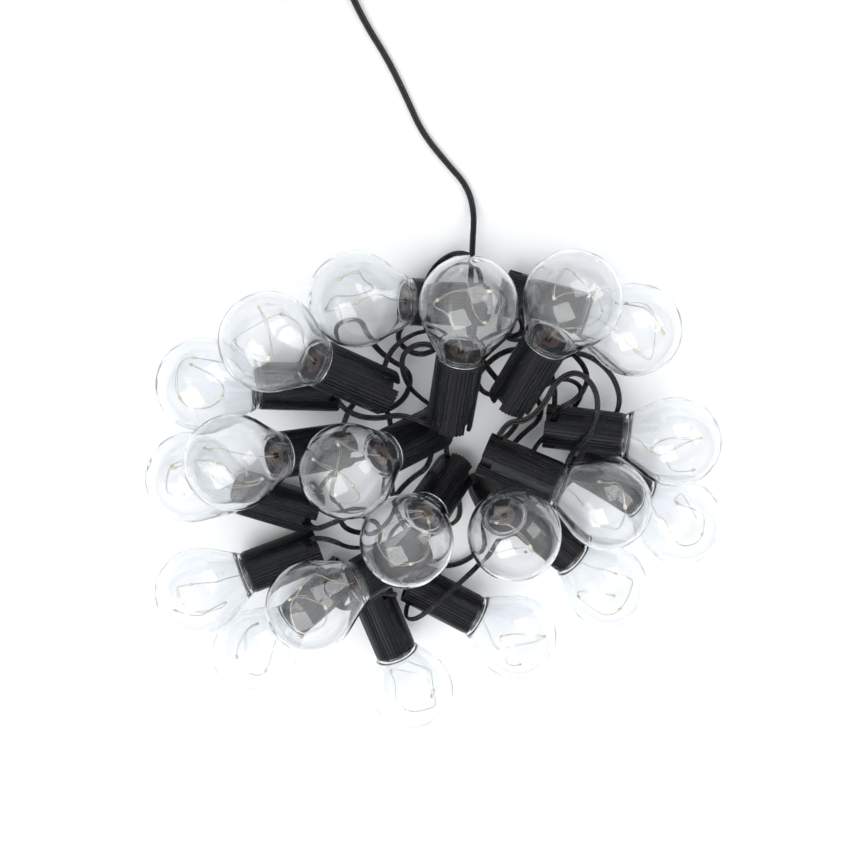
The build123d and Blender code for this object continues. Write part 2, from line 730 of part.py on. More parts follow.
def make_battery_door():
    with BuildPart() as door:
        slab(DOOR_LENGTH, DOOR_WIDTH, DOOR_CORNER, DOOR_SEAT, CASE_BACK, (0, BATTERY_Y))
        posts(DOOR_SCREW_PLACES, SCREW_RADIUS + FIT, DOOR_SEAT, CASE_BACK, mode=Mode.SUBTRACT)
        for rib in (-1, 0, 1):
            middle = (0, BATTERY_Y + DOOR_RIB_PITCH * rib)
            slab(
                DOOR_LENGTH / 2,
                DOOR_RIB_WIDTH,
                DOOR_RIB_HEIGHT,
                CASE_BACK,
                CASE_BACK + DOOR_RIB_HEIGHT,
                middle,
            )
    save("battery_door", door)


def make_case_screws():
    """Four screws through the case into the frame, two through the battery door."""
    with BuildPart() as screws:
        posts(CASE_SCREW_PLACES, SCREW_RADIUS, SCREW_TIP, SCREW_SEAT)
        posts(CASE_SCREW_PLACES, SCREW_HEAD_RADIUS, SCREW_SEAT, SCREW_SEAT + SCREW_HEAD)
        posts(DOOR_SCREW_PLACES, SCREW_RADIUS, DOOR_SCREW_TIP, CASE_BACK)
        posts(DOOR_SCREW_PLACES, SCREW_HEAD_RADIUS, CASE_BACK, CASE_BACK + SCREW_HEAD / 2)
    save("case_screws", screws)


def make_button(label, place):
    """A push button: a cap through the case's back, a flange that holds it in, a stem."""
    flange_bottom = CASE_FLOOR - BUTTON_GAP
    flange_top = flange_bottom - BUTTON_FLANGE
    stem_top = SWITCH_BOTTOM + BUTTON_TRAVEL + BUTTON_GAP
    with BuildPart() as button:
        posts([place], BUTTON_RADIUS, flange_bottom, CASE_BACK + BUTTON_PROUD)
        fillet(button.edges().filter_by(GeomType.CIRCLE).sort_by(Axis.Z)[0], BUTTON_ROUNDING)
        posts([place], BUTTON_FLANGE_RADIUS, flange_top, flange_bottom)
        posts([place], BUTTON_STEM_RADIUS, stem_top, flange_top)
    save(label, button)


def make_cable_gland():
    """The rubber gland in the case's lower edge. The lead's end meets its tip."""
    outward = -unit_plane().y_dir
    inside = unit_point(GLAND_X, -BOX_WIDTH / 2 + BOX_WALL, GLAND_DEPTH)
    with BuildPart() as gland:
        with BuildSketch(Plane(origin=inside - outward * GLAND_FLANGE, z_dir=outward)):
            Circle(GLAND_RADIUS + GLAND_INNER_LIP)
        extrude(amount=GLAND_FLANGE)
        with BuildSketch(Plane(origin=inside, z_dir=outward)):
            Circle(GLAND_RADIUS)
        extrude(amount=BOX_WALL)
        with BuildSketch(Plane(origin=inside + outward * BOX_WALL, z_dir=outward)):
            Circle(GLAND_RADIUS + GLAND_OUTER_LIP)
        extrude(amount=GLAND_FLANGE)
        with BuildSketch(Plane(origin=inside + outward * (BOX_WALL + GLAND_FLANGE), z_dir=outward)):
            Circle(GLAND_RADIUS)
        extrude(amount=GLAND_BOOT, taper=GLAND_TAPER)
    save("cable_gland", gland)


def make_stand_bracket():
    """The foot plate with its two screw holes and the two ears of the hinge."""
    ear_plane = Plane(origin=PIVOT, x_dir=(0, 1, 0), z_dir=(1, 0, 0))
    ear_start = LUG_WIDTH / 2 + FIT
    with BuildPart() as bracket:
        with BuildSketch(Plane(origin=(PIVOT.X, PIVOT.Y, 0))):
            RectangleRounded(FOOT_LENGTH, FOOT_WIDTH, FOOT_CORNER)
            with Locations((-FOOT_HOLE_SPACING / 2, 0), (FOOT_HOLE_SPACING / 2, 0)):
                Circle(FOOT_HOLE_RADIUS, mode=Mode.SUBTRACT)
        extrude(amount=FOOT_THICKNESS)
        for start in (ear_start, -ear_start - EAR_THICKNESS):
            with BuildSketch(ear_plane.offset(start)):
                Circle(LUG_RADIUS)
                with Locations((0, -PIVOT.Z / 2)):
                    Rectangle(2 * LUG_RADIUS, PIVOT.Z)
                Circle(BOLT_RADIUS, mode=Mode.SUBTRACT)
            extrude(amount=EAR_THICKNESS)
    save("stand_bracket", bracket)


def make_pivot_bolt():
    """The hinge bolt: a hexagon head on one side, a lobed thumb nut on the other."""
    ear_end = LUG_WIDTH / 2 + FIT + EAR_THICKNESS
    across = Plane(origin=PIVOT, x_dir=(0, 1, 0), z_dir=(1, 0, 0))
    with BuildPart() as bolt:
        with BuildSketch(across.offset(-ear_end - BOLT_HEAD)):
            RegularPolygon(BOLT_HEAD_RADIUS, 6)
        extrude(amount=BOLT_HEAD)
        with BuildSketch(across.offset(-ear_end)):
            Circle(BOLT_RADIUS)
        extrude(amount=2 * ear_end + NUT_LENGTH)
        with BuildSketch(across.offset(ear_end)):
            Circle(NUT_RADIUS)
            with PolarLocations(NUT_RADIUS, 5):
                Circle(NUT_LOBE_RADIUS)
        extrude(amount=NUT_LENGTH)
    save("pivot_bolt", bolt)


def make_solar_unit():
    make_panel_frame()
    make_solar_panel()
    make_case_gasket()
    make_rear_case()
    make_circuit_board()
    make_battery_cell()
    make_battery_contacts()
    make_battery_door()
    make_case_screws()
    make_button("power_button", BUTTON_PLACES[0])
    make_button("mode_button", BUTTON_PLACES[1])
    make_cable_gland()
    make_stand_bracket()
    make_pivot_bolt()


# ---------------------------------------------------------------- everything

os.makedirs("parts", exist_ok=True)
make_lampholders()
make_globes()
make_led_strings()
make_cord_grommets()
for number in STRING_CORDS:
    cord(f"string_cord_{number:02d}", string_route(number))
cord("lead_cord", lead_route())
cord("lead_tail", tail_route())
make_lead_coil()
make_coil_tie()
make_solar_unit()
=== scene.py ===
"""Solar string lights in a pile: how they look, in the CAD model's own frame.

Metres, +Z up, the floor at Z = 0. The lamps, the cords and the lead are modelled here in finer
detail; the solar unit keeps its CAD shapes and gets its finishes here.
"""

import math
import random

import bmesh
import bpy
from mathutils import Matrix, Vector


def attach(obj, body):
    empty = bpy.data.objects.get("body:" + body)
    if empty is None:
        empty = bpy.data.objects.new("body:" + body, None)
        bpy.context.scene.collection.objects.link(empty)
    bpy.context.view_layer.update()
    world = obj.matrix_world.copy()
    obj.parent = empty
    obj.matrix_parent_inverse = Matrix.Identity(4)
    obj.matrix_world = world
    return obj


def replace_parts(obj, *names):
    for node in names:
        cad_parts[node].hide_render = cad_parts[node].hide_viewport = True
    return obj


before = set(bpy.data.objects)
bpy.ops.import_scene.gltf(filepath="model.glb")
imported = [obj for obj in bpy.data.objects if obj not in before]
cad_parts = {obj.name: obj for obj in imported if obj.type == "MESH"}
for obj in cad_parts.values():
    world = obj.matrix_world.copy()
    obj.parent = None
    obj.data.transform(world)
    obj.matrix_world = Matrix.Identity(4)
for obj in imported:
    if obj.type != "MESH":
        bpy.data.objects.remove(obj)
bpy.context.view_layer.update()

# ---------------------------------------------------------------- dimensions

PILE = Vector((-0.005, -0.0605, 0.0))  # where the pile's own centre stands

CAMERA_PLACE = Vector((-0.0609, 0.1852, 0.5805))
CAMERA_RIGHT = Vector((0.995, 0.0, 0.100))
CAMERA_VIEW = Vector((0.092, -0.403, -0.911))
SENSOR = 36.0  # millimetres
LENS = 45.62  # millimetres
FLOOR_HALF = 3.0
HORIZON_COLOUR = (0.33, 0.36, 0.40, 1)
OVERHEAD_COLOUR = (1.0, 1.0, 1.0, 1)
OVERHEAD_START = 0.55  # how far up the tent it is fully bright: 0 at the horizon, 1 at the top
TENT_STRENGTH = 1.2

GLOBE_RADIUS = 0.025
GLOBE_WALL = 0.0012
TAPER_START = 0.0122  # along the lamp's axis, from the globe's centre: the ball turns into a cone
NECK_START = 0.0290
NECK_RADIUS = 0.0122
MOUTH = 0.0299
COLLAR_START = 0.0262  # inside, the neck is thick enough from here to grip the spigot
COLLAR_STEP_RADIUS = 0.0125
NECK_INNER_RADIUS = 0.0105
NECK_ROUNDING = 0.0002
TIP_MARK_RADIUS = 0.002  # a faint raised ring round the globe's tip
TIP_MARK_HEIGHT = 0.00025
TIP_MARK_WIDTH = 0.0006
BALL_STEPS = 40
CONE_STEPS = 8
GLOBE_SEGMENTS = 96

HOLDER_RADIUS = 0.0125
HOLDER_FRONT = 0.0300
HOLDER_BACK = 0.073
FRONT_ROUNDING = 0.0004
BACK_ROUNDING = 0.0003
GROOVES_START = 0.0314
GROOVE_RUN_IN = 0.0004
GROOVE_DEPTH = 0.0006
GROOVE_SHAPE = (  # degrees from its middle, share of its depth
    (-2.7, 0), (-2.2, 0.3), (-1.7, 1), (1.7, 1), (2.2, 0.3), (2.7, 0),
)
GROOVES_PER_GROUP = 7
GROOVE_PITCH = 9.5  # degrees
HOLDER_GROUPS = 4
BORE_RADIUS = 0.0104
BORE_FLOOR = 0.040
SPIGOT_START = 0.0266
SPIGOT_RADIUS = 0.0103
WIRE_HOLE_RADIUS = 0.0015
WIRE_HOLE_BEVEL = 0.0006
SLOT_FLOOR = 0.066
SLOT_WIDTH = 0.005

LED_STRAND_RADIUS = 0.00014
LED_STRAND_SIDES = 6
LED_DROP_HALF_LENGTH = 0.0015
LED_DROP_RADIUS = 0.0009
LED_DROP_RINGS = 8
LED_DROP_SIDES = 12
LED_CHIP_HALF = Vector((0.0005, 0.00022, 0.0008))
LED_CHIP_OFFSET = 0.0005  # from the middle of its drop
LED_PLACES = (0.34, 0.56, 0.78, 1.0)  # shares of the wire's length
LED_WIRE_START = 0.0285  # along the lamp's axis, inside the spigot
LED_WIRE_OUT = 0.0245
LED_WIRE_LEAN = 0.018  # where the wire first leans to one side
LED_LOOP_POLARS = (48, 78, 112, 140, 150, 118, 80, 46, 62, 96, 128)  # degrees from the lamp's axis
LED_LOOP_TURNS = (0, 10, 28, 60, 170, 205, 214, 232, 268, 300, 322)  # degrees round it
LED_POLAR_SPREAD = 14  # degrees either way, from lamp to lamp
LED_TURN_SPREAD = 18
LED_LEAST_REACH = 0.0125
LED_MOST_REACH = 0.0205
LED_STRANDS_LEAST_APART = 0.0002  # from the wire's middle line
LED_STRANDS_PART = 0.0004
LED_WIRE_STEPS = 24

CORD_EXIT = 0.069  # along the lamp's axis
GROMMET_HALF = 0.0075
STRAIGHT_OUT = 0.014  # the cord's first run, square to the lampholder
CORD_WIDTH = 0.0032
CORD_THICKNESS = 0.0017
BEND_PULL = 0.5  # how readily the flat cord turns its width square to a bend
LEVEL_PULL = 0.12  # how readily it turns to lie on its flat side
STRING_CORD_STEPS = 14
LEAD_STEPS = 8

COIL_CENTRE = Vector((-0.073, 0.251, 0.0))  # from the pile's centre
COIL_COLUMNS = 4
COIL_ROWS = 4
COIL_OUTER_RADIUS = 0.0203
COIL_COLUMN_STEP = 0.0019
COIL_FIRST_ROW = 0.0019
COIL_ROW_STEP = 0.0033
COIL_UNEVENNESS = 0.0002
COIL_TURNS = 15.82
COIL_POINTS_PER_TURN = 14

SOLAR_PIVOT = Vector((0.015, 0.2325, 0.040))
PANEL_TILT = 35  # degrees
GLAND_TIP_X = -0.032
GLAND_TIP_Y = -0.044
GLAND_TIP_ABOVE_PIVOT = 0.018

# Each lamp: X, Y, Z of the globe's centre from the pile's centre, the heading and the pitch in
# degrees of the line from the globe to the lampholder's back, and how far the notches are turned.
LAMPS = {
    1: (0.014, 0.084, 0.06, -96, -14, 45),
    2: (-0.041, 0.08, 0.03, -8, -13, 0),
    3: (-0.085, 0.069, 0.061, -33, -18, 45),
    4: (-0.123, 0.034, 0.025, -8, -10, 0),
    5: (-0.049, 0.0, 0.068, 0, -45, 0),
    6: (-0.107, 0.006, 0.064, -12, -36, 0),
    7: (-0.134, -0.02, 0.025, -27, -10, 0),
    8: (-0.136, -0.093, 0.025, 15, -10, 45),
    9: (-0.107, -0.137, 0.025, 38, -10, 45),
    10: (-0.071, -0.082, 0.065, 16, -24, 45),
    11: (-0.019, -0.041, 0.071, 15, -62, 0),
    12: (0.038, -0.038, 0.075, -113, -84, 0),
    13: (0.066, 0.086, 0.061, -112, -20, 45),
    14: (0.107, 0.06, 0.034, 166, -16, 0),
    15: (0.134, -0.005, 0.038, 176, -15, 45),
    16: (0.146, -0.063, 0.025, 148, -10, 0),
    17: (0.092, -0.033, 0.056, 160, -18, 0),
    18: (0.104, -0.104, 0.025, 138, -10, 0),
    19: (0.05, -0.137, 0.025, 151, -10, 45),
    20: (-0.013, -0.172, 0.025, 110, -10, 45),
}

# The cord from each lamp to the next: the side it leaves by, its points, the side it enters by.
# A side is an angle in degrees round the lampholder. Points are from the pile's centre.
STRING_CORDS = {
    1: (225, [
        (-0.016, 0.031, 0.021), (-0.017, 0.045, 0.015), (-0.004, 0.052, 0.018),
        (0.008, 0.044, 0.019), (0.007, 0.03, 0.013), (0.019, 0.024, 0.006),
        (0.028, 0.036, 0.008),
    ], 180),
    2: (0, [
        (0.016, 0.1, 0.01), (0.003, 0.091, 0.004), (-0.004, 0.076, 0.003),
        (-0.012, 0.062, 0.004), (-0.02, 0.048, 0.004), (-0.006, 0.038, 0.006),
        (0.008, 0.048, 0.011), (0.004, 0.058, 0.02), (-0.01, 0.06, 0.025),
    ], 315),
    3: (225, [
        (-0.03, 0.01, 0.018), (-0.014, 0.016, 0.012), (-0.01, 0.03, 0.006),
        (-0.024, 0.038, 0.005), (-0.034, 0.05, 0.006), (-0.038, 0.063, 0.008),
        (-0.053, 0.061, 0.011),
    ], 0),
    4: (90, [
        (-0.044, 0.02, 0.042), (-0.032, 0.015, 0.036), (-0.018, 0.017, 0.035),
        (-0.002, 0.011, 0.04), (0.012, 0.004, 0.034), (0.022, 0.012, 0.026),
        (0.016, 0.026, 0.021),
    ], 0),
    5: (180, [
        (-0.013, -0.033, 0.014), (-0.022, -0.046, 0.01), (-0.025, -0.061, 0.008),
        (-0.038, -0.071, 0.008), (-0.052, -0.065, 0.01), (-0.054, -0.05, 0.016),
        (-0.06, -0.042, 0.02),
    ], 180),
    6: (0, [
        (-0.036, 0.024, 0.017), (-0.025, 0.012, 0.012), (-0.022, -0.005, 0.011),
        (-0.032, -0.018, 0.011), (-0.046, -0.02, 0.011),
    ], 0),
    7: (90, [
        (-0.058, -0.045, 0.04), (-0.044, -0.04, 0.038), (-0.032, -0.05, 0.032),
        (-0.033, -0.066, 0.03), (-0.048, -0.067, 0.031), (-0.06, -0.058, 0.034),
    ], 45),
    8: (135, [
        (-0.06, -0.098, 0.038), (-0.046, -0.104, 0.04), (-0.034, -0.096, 0.036),
        (-0.036, -0.083, 0.034), (-0.048, -0.075, 0.036),
    ], 45),
    9: (135, [
        (-0.029, -0.098, 0.029), (-0.02, -0.09, 0.018), (-0.01, -0.08, 0.01),
        (0.003, -0.072, 0.011), (-0.001, -0.06, 0.012), (-0.014, -0.055, 0.015),
        (-0.027, -0.066, 0.016), (-0.026, -0.083, 0.017),
    ], 225),
    10: (315, [
        (-0.024, -0.036, 0.022), (-0.022, -0.022, 0.012), (-0.012, -0.016, 0.006),
        (-0.009, -0.003, 0.004), (0.002, 0.012, 0.005), (0.017, 0.003, 0.007),
    ], 0),
    11: (180, [
        (0.016, -0.066, 0.008), (0.002, -0.072, 0.004), (-0.009, -0.084, 0.004),
        (-0.001, -0.097, 0.003), (0.016, -0.098, 0.004), (0.03, -0.088, 0.005),
        (0.03, -0.076, 0.008),
    ], 90),
    12: (270, [
        (0.052, -0.014, 0.003), (0.066, -0.002, 0.003), (0.062, 0.012, 0.004),
        (0.048, 0.016, 0.005), (0.032, 0.014, 0.008), (0.024, 0.026, 0.011),
        (0.033, 0.038, 0.012), (0.044, 0.043, 0.01), (0.056, 0.041, 0.007),
        (0.0665, 0.031, 0.0115),
    ], 315),
    13: (225, [
        (0.024, 0.048, 0.021), (0.034, 0.056, 0.026), (0.046, 0.058, 0.033),
        (0.045, 0.07, 0.042),
    ], 90),
    14: (0, [
        (0.046, 0.046, 0.008), (0.06, 0.05, 0.008), (0.074, 0.046, 0.016), (0.086, 0.034, 0.028),
        (0.078, 0.024, 0.04),
    ], 135),
    15: (225, [
        (0.068, 0.028, 0.003), (0.08, 0.038, 0.003), (0.094, 0.034, 0.004),
        (0.106, 0.022, 0.006), (0.11, 0.006, 0.01),
    ], 180),
    16: (0, [
        (0.066, -0.044, 0.01), (0.058, -0.034, 0.006), (0.06, -0.02, 0.006),
        (0.072, -0.008, 0.005), (0.084, 0.004, 0.005), (0.088, 0.017, 0.007),
        (0.077, 0.025, 0.01), (0.063, 0.02, 0.009), (0.054, 0.007, 0.007), (0.048, -0.007, 0.009),
    ], 270),
    17: (180, [
        (0.05, 0.011, 0.038), (0.059, 0.022, 0.04), (0.064, 0.036, 0.042), (0.075, 0.042, 0.044),
        (0.085, 0.032, 0.046), (0.087, 0.017, 0.046), (0.084, 0.004, 0.043),
        (0.077, -0.007, 0.0375), (0.075, -0.02, 0.0295), (0.076, -0.032, 0.021),
    ], 180),
    18: (0, [
        (0.03, -0.084, 0.022), (0.016, -0.09, 0.034), (0.002, -0.1, 0.038),
        (-0.012, -0.112, 0.04),
    ], 45),
    19: (135, [
        (-0.015, -0.086, 0.035), (-0.03, -0.085, 0.03), (-0.043, -0.09, 0.027),
        (-0.054, -0.099, 0.035),
    ], 45),
}

# The lead, from the first lamp to its coil, and its tail from the coil to the solar unit.
LEAD_POINTS = [
    (0.024, 0.034, 0.026), (0.02, 0.048, 0.03), (0.018, 0.062, 0.03), (0.018, 0.078, 0.032),
    (0.02, 0.092, 0.024), (0.022, 0.104, 0.012), (0.024, 0.118, 0.003), (0.02, 0.132, 0.002),
    (0.009, 0.144, 0.002), (-0.004, 0.16, 0.002), (-0.012, 0.178, 0.002), (-0.021, 0.196, 0.002),
    (-0.032, 0.213, 0.002), (-0.041, 0.232, 0.003), (-0.053, 0.252, 0.004),
]
TAIL_POINTS = [
    (-0.064, 0.2335, 0.0105), (-0.05, 0.234, 0.011), (-0.036, 0.231, 0.013),
    (-0.023, 0.231, 0.016),
]
LEAD_SIDE = 315

# ---------------------------------------------------------------- places


def pile_point(point):
    """A point given from the pile's centre, in the model's frame."""
    return PILE + Vector(point)


def lamp_axes(number):
    """The lamp's centre, its side, its upward square direction, and its axis."""
    x, y, z, heading, pitch, _ = LAMPS[number]
    heading, pitch = math.radians(heading), math.radians(pitch)
    flat = Vector((math.cos(heading), math.sin(heading), 0))
    axis = flat * math.cos(pitch) + Vector((0, 0, math.sin(pitch)))
    side = Vector((-math.sin(heading), math.cos(heading), 0))
    return pile_point((x, y, z)), side, axis.cross(side), axis


def lamp_matrix(number, roll=0.0):
    """The lamp's own frame: origin at the globe's centre, +Z towards the lampholder's back."""
    centre, side, square, axis = lamp_axes(number)
    frame_matrix = Matrix((side, square, axis)).transposed().to_4x4()
    frame_matrix.translation = centre
    return frame_matrix @ Matrix.Rotation(math.radians(roll), 4, "Z")


def exit_points(number, side_angle):
    """The cord's first two points at a lampholder: on its grommet, and straight out of it."""
    centre, side, square, axis = lamp_axes(number)
    angle = math.radians(side_angle)
    outward = side * math.cos(angle) + square * math.sin(angle)
    start = centre + axis * CORD_EXIT + outward * GROMMET_HALF
    return start, start + outward * STRAIGHT_OUT


# ---------------------------------------------------------------- camera and stage


def make_camera():
    """Looks down on the pile from the side that the lead runs to."""
    view = CAMERA_VIEW.normalized()
    right = (CAMERA_RIGHT - view * CAMERA_RIGHT.dot(view)).normalized()
    up = right.cross(view)
    data = bpy.data.cameras.new("camera")
    data.sensor_width = SENSOR
    data.lens = LENS
    data.clip_start = 0.01
    camera = bpy.data.objects.new("camera", data)
    matrix = Matrix((right, up, -view)).transposed().to_4x4()
    matrix.translation = CAMERA_PLACE
    camera.matrix_world = matrix
    bpy.context.scene.collection.objects.link(camera)
    bpy.context.scene.camera = camera


def make_soft_light(name, place, size, power):
    """A square soft box that faces the model's origin."""
    data = bpy.data.lights.new(name, "AREA")
    data.size = size
    data.energy = power
    light = bpy.data.objects.new(name, data)
    light.location = place
    light.rotation_mode = "QUATERNION"
    light.rotation_quaternion = (-Vector(place)).to_track_quat("-Z", "Y")
    bpy.context.scene.collection.objects.link(light)


def make_world():
    """A white tent: bright overhead, greyer towards the horizon."""
    world = bpy.data.worlds.new("studio")
    world.use_nodes = True
    nodes, links = world.node_tree.nodes, world.node_tree.links
    background = nodes["Background"]
    place = nodes.new("ShaderNodeTexCoord")
    parts = nodes.new("ShaderNodeSeparateXYZ")
    ramp = nodes.new("ShaderNodeValToRGB")
    ramp.color_ramp.elements[0].position = 0.0
    ramp.color_ramp.elements[0].color = HORIZON_COLOUR
    ramp.color_ramp.elements[1].position = OVERHEAD_START
    ramp.color_ramp.elements[1].color = OVERHEAD_COLOUR
    background.inputs["Strength"].default_value = TENT_STRENGTH
    links.new(place.outputs["Generated"], parts.inputs[0])
    links.new(parts.outputs["Z"], ramp.inputs["Fac"])
    links.new(ramp.outputs["Color"], background.inputs["Color"])
    bpy.context.scene.world = world


def make_floor():
    """A plain white table top."""
    half = FLOOR_HALF
    corners = [(-half, -half, 0), (half, -half, 0), (half, half, 0), (-half, half, 0)]
    mesh = bpy.data.meshes.new("floor")
    mesh.from_pydata(corners, [], [(0, 1, 2, 3)])
    floor = bpy.data.objects.new("floor", mesh)
    material, tree, shader = new_material("floor_white")
    shader.inputs["Roughness"].default_value = 0.6
    tint(tree, shader, 3, (0.80, 0.803, 0.807), (0.83, 0.833, 0.837))
    mesh.materials.append(material)
    bpy.context.scene.collection.objects.link(floor)


# ---------------------------------------------------------------- materials


def new_material(name):
    """A new material with a Principled shader: the material, its node tree and the shader."""
    material = bpy.data.materials.new(name)
    material.use_nodes = True
    return material, material.node_tree, material.node_tree.nodes["Principled BSDF"]


def noise(tree, scale, detail=3.0, stretch=(1, 1, 1)):
    """Noise over the object's own coordinates; scale is in features per metre."""
    place = tree.nodes.new("ShaderNodeTexCoord")
    mapping = tree.nodes.new("ShaderNodeMapping")
    mapping.inputs["Scale"].default_value = stretch
    texture = tree.nodes.new("ShaderNodeTexNoise")
    texture.inputs["Scale"].default_value = scale
    texture.inputs["Detail"].default_value = detail
    tree.links.new(place.outputs["Object"], mapping.inputs["Vector"])
    tree.links.new(mapping.outputs["Vector"], texture.inputs["Vector"])
    return texture.outputs["Fac"]


def ramp_between(tree, factor, low, high, start=0.35, end=0.65):
    """A colour that goes from low to high as the factor goes from start to end."""
    ramp = tree.nodes.new("ShaderNodeValToRGB")
    ramp.color_ramp.elements[0].position = start
    ramp.color_ramp.elements[0].color = (*low, 1)
    ramp.color_ramp.elements[1].position = end
    ramp.color_ramp.elements[1].color = (*high, 1)
    tree.links.new(factor, ramp.inputs["Fac"])
    return ramp.outputs["Color"]


def tint(tree, shader, scale, low, high, stretch=(1, 1, 1)):
    """A base colour that varies a little over the surface."""
    colour = ramp_between(tree, noise(tree, scale, stretch=stretch), low, high)
    tree.links.new(colour, shader.inputs["Base Color"])
    return colour


def vary_roughness(tree, shader, scale, low, high, stretch=(1, 1, 1)):
    """A roughness that varies over the surface."""
    change = tree.nodes.new("ShaderNodeMapRange")
    change.inputs["From Min"].default_value = 0.3
    change.inputs["From Max"].default_value = 0.7
    change.inputs["To Min"].default_value = low
    change.inputs["To Max"].default_value = high
    tree.links.new(noise(tree, scale, stretch=stretch), change.inputs["Value"])
    tree.links.new(change.outputs["Result"], shader.inputs["Roughness"])


def add_bump(tree, shader, factor, strength, depth):
    """Fine relief from a factor; depth in metres."""
    bump = tree.nodes.new("ShaderNodeBump")
    bump.inputs["Strength"].default_value = strength
    bump.inputs["Distance"].default_value = depth
    tree.links.new(factor, bump.inputs["Height"])
    tree.links.new(bump.outputs["Normal"], shader.inputs["Normal"])


def add_specks(tree, shader, colour, per_metre, speck_colour):
    """Scattered dust specks over a base colour."""
    place = tree.nodes.new("ShaderNodeTexCoord")
    cells = tree.nodes.new("ShaderNodeTexVoronoi")
    cells.inputs["Scale"].default_value = per_metre
    tree.links.new(place.outputs["Object"], cells.inputs["Vector"])
    specks = ramp_between(tree, cells.outputs["Distance"], (1, 1, 1), (0, 0, 0), 0.06, 0.09)
    patches = ramp_between(tree, noise(tree, per_metre / 6), (0, 0, 0), (1, 1, 1), 0.52, 0.58)
    both = tree.nodes.new("ShaderNodeMix")
    both.data_type = "RGBA"
    both.blend_type = "MULTIPLY"
    both.inputs["Factor"].default_value = 1.0
    tree.links.new(specks, both.inputs["A"])
    tree.links.new(patches, both.inputs["B"])
    mix = tree.nodes.new("ShaderNodeMix")
    mix.data_type = "RGBA"
    mix.inputs["B"].default_value = (*speck_colour, 1)
    tree.links.new(both.outputs["Result"], mix.inputs["Factor"])
    tree.links.new(colour, mix.inputs["A"])
    tree.links.new(mix.outputs["Result"], shader.inputs["Base Color"])


def holder_plastic():
    """Black moulded plastic with lengthwise drawing marks and a soft gloss."""
    material, tree, shader = new_material("holder_plastic")
    lengthwise = (1, 1, 0.06)
    shader.inputs["Specular IOR Level"].default_value = 0.2
    colour = tint(tree, shader, 900, (0.003, 0.0034, 0.0042), (0.009, 0.0098, 0.012), lengthwise)
    add_specks(tree, shader, colour, 520, (0.35, 0.36, 0.38))
    vary_roughness(tree, shader, 1400, 0.2, 0.42, lengthwise)
    add_bump(tree, shader, noise(tree, 1800, 4, lengthwise), 0.35, 0.0002)
    return material


def cord_black():
    """Black flexible cord jacket: satin, a little dusty."""
    material, tree, shader = new_material("cord_black")
    shader.inputs["Specular IOR Level"].default_value = 0.3
    colour = tint(tree, shader, 260, (0.002, 0.0023, 0.003), (0.006, 0.0066, 0.008))
    add_specks(tree, shader, colour, 480, (0.5, 0.51, 0.53))
    vary_roughness(tree, shader, 420, 0.16, 0.34)
    add_bump(tree, shader, noise(tree, 2600), 0.2, 0.0001)
    return material


def clear_globe():
    """Thin clear plastic, faintly smudged, with a cool tint where it is seen edge on."""
    material, tree, shader = new_material("clear_globe")
    shader.inputs["Base Color"].default_value = (0.958, 0.968, 0.976, 1)
    shader.inputs["Transmission Weight"].default_value = 1.0
    shader.inputs["IOR"].default_value = 1.58
    vary_roughness(tree, shader, 55, 0.0, 0.035)
    add_bump(tree, shader, noise(tree, 45, 2), 0.25, 0.0012)
    output = tree.nodes["Material Output"]
    paths = tree.nodes.new("ShaderNodeLightPath")
    clear = tree.nodes.new("ShaderNodeBsdfTransparent")
    clear.inputs["Color"].default_value = (0.95, 0.96, 0.97, 1)
    mix = tree.nodes.new("ShaderNodeMixShader")
    tree.links.new(paths.outputs["Is Shadow Ray"], mix.inputs["Fac"])
    tree.links.new(shader.outputs["BSDF"], mix.inputs[1])
    tree.links.new(clear.outputs["BSDF"], mix.inputs[2])
    tree.links.new(mix.outputs["Shader"], output.inputs["Surface"])
    return material


def led_wire_metal():
    """Fine lacquered copper wire, silvery cream."""
    material, tree, shader = new_material("led_wire")
    shader.inputs["Metallic"].default_value = 0.55
    tint(tree, shader, 900, (0.30, 0.27, 0.22), (0.58, 0.54, 0.46))
    vary_roughness(tree, shader, 700, 0.25, 0.5)
    return material


def led_resin():
    """The drop of clear resin over each LED."""
    material, tree, shader = new_material("led_resin")
    shader.inputs["Transmission Weight"].default_value = 0.6
    shader.inputs["IOR"].default_value = 1.5
    tint(tree, shader, 1200, (0.80, 0.76, 0.60), (0.93, 0.91, 0.80))
    vary_roughness(tree, shader, 1500, 0.05, 0.25)
    return material


def led_chip():
    """The yellow phosphor of an unlit white LED."""
    material, tree, shader = new_material("led_chip")
    shader.inputs["Roughness"].default_value = 0.5
    tint(tree, shader, 2500, (0.85, 0.62, 0.10), (0.98, 0.84, 0.30))
    return material


def spigot_glue():
    """Brown hot glue and flux round the hole where the LED wire comes out."""
    material, tree, shader = new_material("spigot_glue")
    tint(tree, shader, 500, (0.012, 0.009, 0.008), (0.07, 0.035, 0.022))
    vary_roughness(tree, shader, 600, 0.2, 0.6)
    add_bump(tree, shader, noise(tree, 700, 4), 0.8, 0.0006)
    return material


def moulded_plastic(name, low, high, rough_low, rough_high, grain=1500):
    """A moulded part with a fine spark-eroded texture."""
    material, tree, shader = new_material(name)
    colour = tint(tree, shader, 220, low, high)
    add_specks(tree, shader, colour, 260, tuple(min(1, 6 * c + 0.05) for c in high))
    vary_roughness(tree, shader, 300, rough_low, rough_high)
    add_bump(tree, shader, noise(tree, grain, 5), 0.35, 0.00015)
    return material


